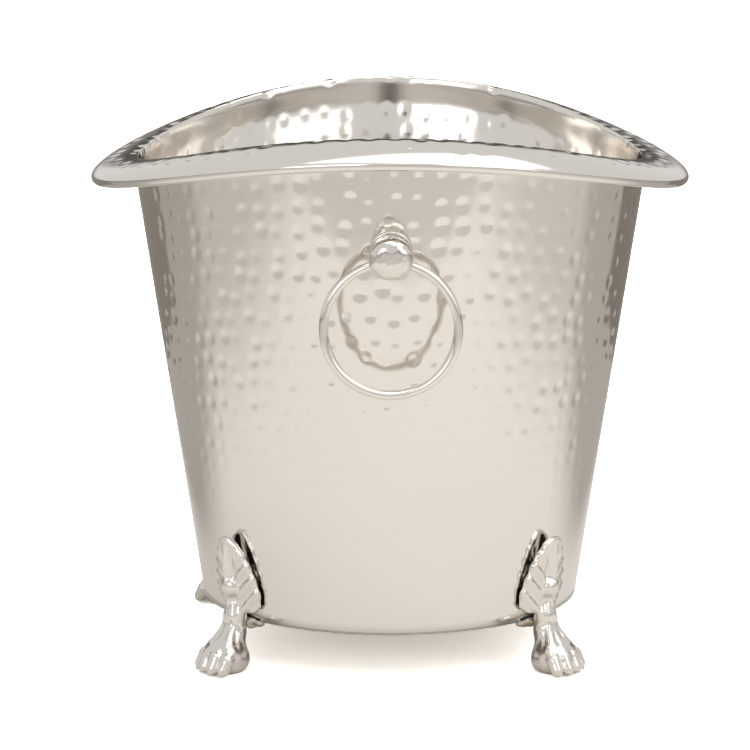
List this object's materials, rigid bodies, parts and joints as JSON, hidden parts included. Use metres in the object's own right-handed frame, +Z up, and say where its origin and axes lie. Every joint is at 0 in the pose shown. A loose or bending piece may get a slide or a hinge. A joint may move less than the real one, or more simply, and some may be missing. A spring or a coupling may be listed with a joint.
{
  "type": "champagne bucket",
  "caption": "Footed champagne bucket: tapered hammered metal bucket with a saddle-shaped flared rim, cast claw feet and swinging ring handles.",
  "frame": {"origin": "on the floor under the centre of the bucket", "axes": "+Z up, -Y towards the front ring handle, +X to the right seen from the front"},
  "size_m": [0.284, 0.284, 0.2596],
  "materials": {
    "hammered_nickel": "polished warm nickel plate, hand hammered",
    "cast_nickel": "satin nickel plate over a cast surface, scuffed on the high points",
    "ring_nickel": "polished nickel plated wire",
    "steel_fixings": "plain bright steel",
    "solder": "dull brownish brazing, left rough"
  },
  "bodies": {
    "bucket": {"bucket_shell": "hammered_nickel", "base_disc": "hammered_nickel", "front_knob": "cast_nickel", "front_knob_collar": "cast_nickel", "front_knob_washer": "steel_fixings", "front_knob_nut": "steel_fixings", "back_knob": "cast_nickel", "back_knob_collar": "cast_nickel", "back_knob_washer": "steel_fixings", "back_knob_nut": "steel_fixings", "front_right_foot": "cast_nickel", "front_right_solder": "solder", "back_right_foot": "cast_nickel", "back_right_solder": "solder", "back_left_foot": "cast_nickel", "back_left_solder": "solder", "front_left_foot": "cast_nickel", "front_left_solder": "solder"},
    "front_ring_body": {"front_ring": "ring_nickel"},
    "back_ring_body": {"back_ring": "ring_nickel"}
  },
  "joints": [
    {"name": "front_ring_swing", "type": "hinge", "parent": "bucket", "child": "front_ring_body", "pos_m": [0, -0.12773, 0.20413], "axis": [-1, 0, 0], "range_deg": [-14, 150]},
    {"name": "back_ring_swing", "type": "hinge", "parent": "bucket", "child": "back_ring_body", "pos_m": [0, 0.12773, 0.20413], "axis": [1, 0, 0], "range_deg": [-14, 150]}
  ]
}
